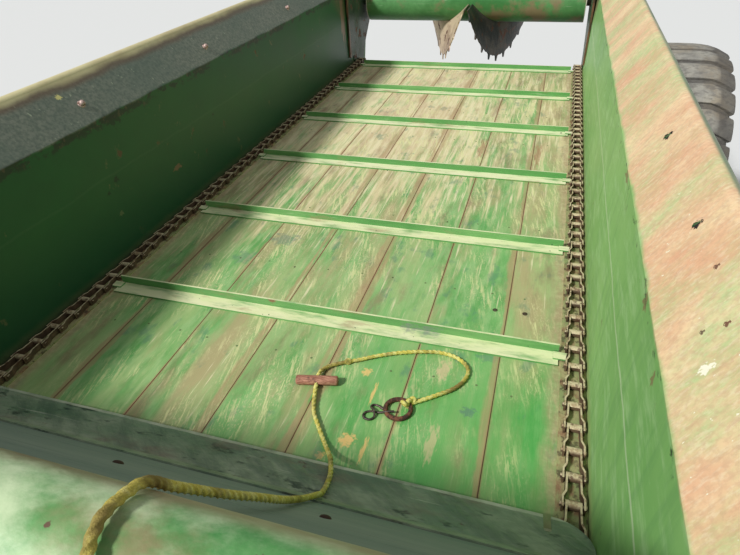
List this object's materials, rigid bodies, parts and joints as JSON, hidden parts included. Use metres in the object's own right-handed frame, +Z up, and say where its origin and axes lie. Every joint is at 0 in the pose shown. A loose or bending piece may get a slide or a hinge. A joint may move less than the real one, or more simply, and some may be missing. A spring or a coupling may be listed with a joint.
{
  "type": "manure spreader",
  "caption": "Towed box manure spreader with a slatted chain floor, flared sides and a rear spiral beater, standing on its jack.",
  "frame": {"origin": "on the ground at the middle of the length and width of the whole machine", "axes": "+X to the right of travel, +Y to the rear (the beater), -Y to the front (the hitch), +Z up"},
  "size_m": [2.352, 5.4845, 1.3225],
  "materials": {
    "floor_wood": "green paint worn through to tan boards",
    "steel_guides": "rusty, rubbed bright",
    "green_wall": "aged green paint, streaked",
    "green_frame": "dusty green paint",
    "rear_green": "dark green paint, rusty at the post",
    "front_wood": "weathered boards, faded green paint",
    "rail_green": "bright green paint with pink worn patches",
    "chain_steel": "tan and rusty, worn",
    "slat_green": "green paint, flange worn to cream",
    "bare_steel": "dull, oily",
    "gear_green": "greasy green paint",
    "tyre_rubber": "worn grey rubber",
    "rim_yellow": "faded yellow paint",
    "hub_grey": "rough",
    "beater_green": "pale green paint with rust",
    "flight_steel": "dark, worn",
    "jack_red": "faded red paint",
    "drive_black": "dusty black",
    "rope_yellow": "three-strand, dirty yellow",
    "handle_wood": "weathered",
    "ring_rust": "rusty",
    "clip_steel": "dull wire"
  },
  "bodies": {
    "machine": {"floor_boards": "floor_wood", "chain_guides": "steel_guides", "side_left": "green_wall", "side_right": "green_wall", "rear_plate_left": "rear_green", "rear_plate_right": "rear_green", "stakes_left": "green_frame", "stakes_right": "green_frame", "sill_left": "green_frame", "sill_right": "green_frame", "cross_sills": "green_frame", "front_boards": "front_wood", "front_frame": "green_frame", "front_flap": "slat_green", "front_rail": "rail_green", "apron_chain_left": "chain_steel", "apron_chain_right": "chain_steel", "apron_slats": "slat_green", "apron_drive_shaft": "bare_steel", "apron_idler_shaft": "bare_steel", "shaft_bearings": "gear_green", "apron_gearbox": "gear_green", "bevel_gearbox": "gear_green", "chain_guard": "green_frame", "line_bearings": "gear_green", "line_shaft": "bare_steel", "driveline": "drive_black", "driveline_hanger": "green_frame", "axle": "green_frame", "axle_saddles": "green_frame", "tongue_left": "green_frame", "tongue_right": "green_frame", "tongue_cross": "green_frame", "hitch_clevis": "green_frame", "jack_bracket": "green_frame", "rope_eye": "bare_steel", "rope": "rope_yellow", "rope_handle": "handle_wood", "rope_ring": "ring_rust", "rope_clip": "clip_steel"},
    "wheel_left": {"left_tyre": "tyre_rubber", "left_rim": "rim_yellow", "left_hub": "hub_grey"},
    "wheel_right": {"right_tyre": "tyre_rubber", "right_rim": "rim_yellow", "right_hub": "hub_grey"},
    "beater": {"beater_tube": "beater_green", "beater_flights": "flight_steel", "beater_shaft": "bare_steel"},
    "jack": {"jack_tube": "jack_red", "jack_crank": "bare_steel"},
    "jack_foot": {"jack_leg": "bare_steel"}
  },
  "joints": [
    {"name": "left_wheel_spin", "type": "hinge", "parent": "machine", "child": "wheel_left", "pos_m": [-1.006, 1.376, 0.5], "axis": [1, 0, 0], "continuous": true},
    {"name": "right_wheel_spin", "type": "hinge", "parent": "machine", "child": "wheel_right", "pos_m": [1.006, 1.376, 0.5], "axis": [1, 0, 0], "continuous": true},
    {"name": "beater_spin", "type": "hinge", "parent": "machine", "child": "beater", "pos_m": [0, 2.411, 0.993], "axis": [1, 0, 0], "continuous": true},
    {"name": "jack_swivel", "type": "hinge", "parent": "machine", "child": "jack", "pos_m": [0.3, -2.439, 0.48471], "axis": [-1, 0, 0], "range_deg": [0, 90]},
    {"name": "jack_slide", "type": "slide", "parent": "jack", "child": "jack_foot", "axis": [0, 0, 1], "range_m": [0, 0.26]}
  ]
}
